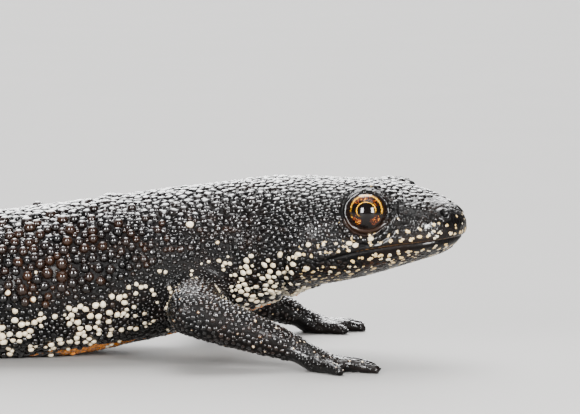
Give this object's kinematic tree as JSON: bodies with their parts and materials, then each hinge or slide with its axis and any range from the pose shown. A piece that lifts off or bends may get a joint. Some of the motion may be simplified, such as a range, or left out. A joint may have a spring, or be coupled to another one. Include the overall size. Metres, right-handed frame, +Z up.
{
  "type": "great crested newt",
  "caption": "Life-size great crested newt at rest, head raised on its forelegs, warty black skin with pale flecks, belly and tail on the floor.",
  "frame": {"origin": "on the floor, under the middle of the animal's bounding box", "axes": "+X towards the head, +Y to the animal's left, +Z up"},
  "size_m": [0.1382, 0.045, 0.015],
  "materials": {
    "skin": "moist, granular charcoal-black skin, glossy on the warts, white-tipped on the lower flanks",
    "eye": "wet and clear over a gold and black iris"
  },
  "bodies": {
    "root": {"head": "skin", "lower_jaw": "skin", "eye_left": "eye", "eye_right": "eye", "neck": "skin", "chest": "skin", "belly": "skin", "hips": "skin", "tail_base": "skin", "tail_middle": "skin", "tail_tip": "skin", "upper_arm_left": "skin", "forearm_left": "skin", "hand_left": "skin", "upper_arm_right": "skin", "forearm_right": "skin", "hand_right": "skin", "thigh_left": "skin", "shin_left": "skin", "foot_left": "skin", "thigh_right": "skin", "shin_right": "skin", "foot_right": "skin"}
  },
  "joints": []
}
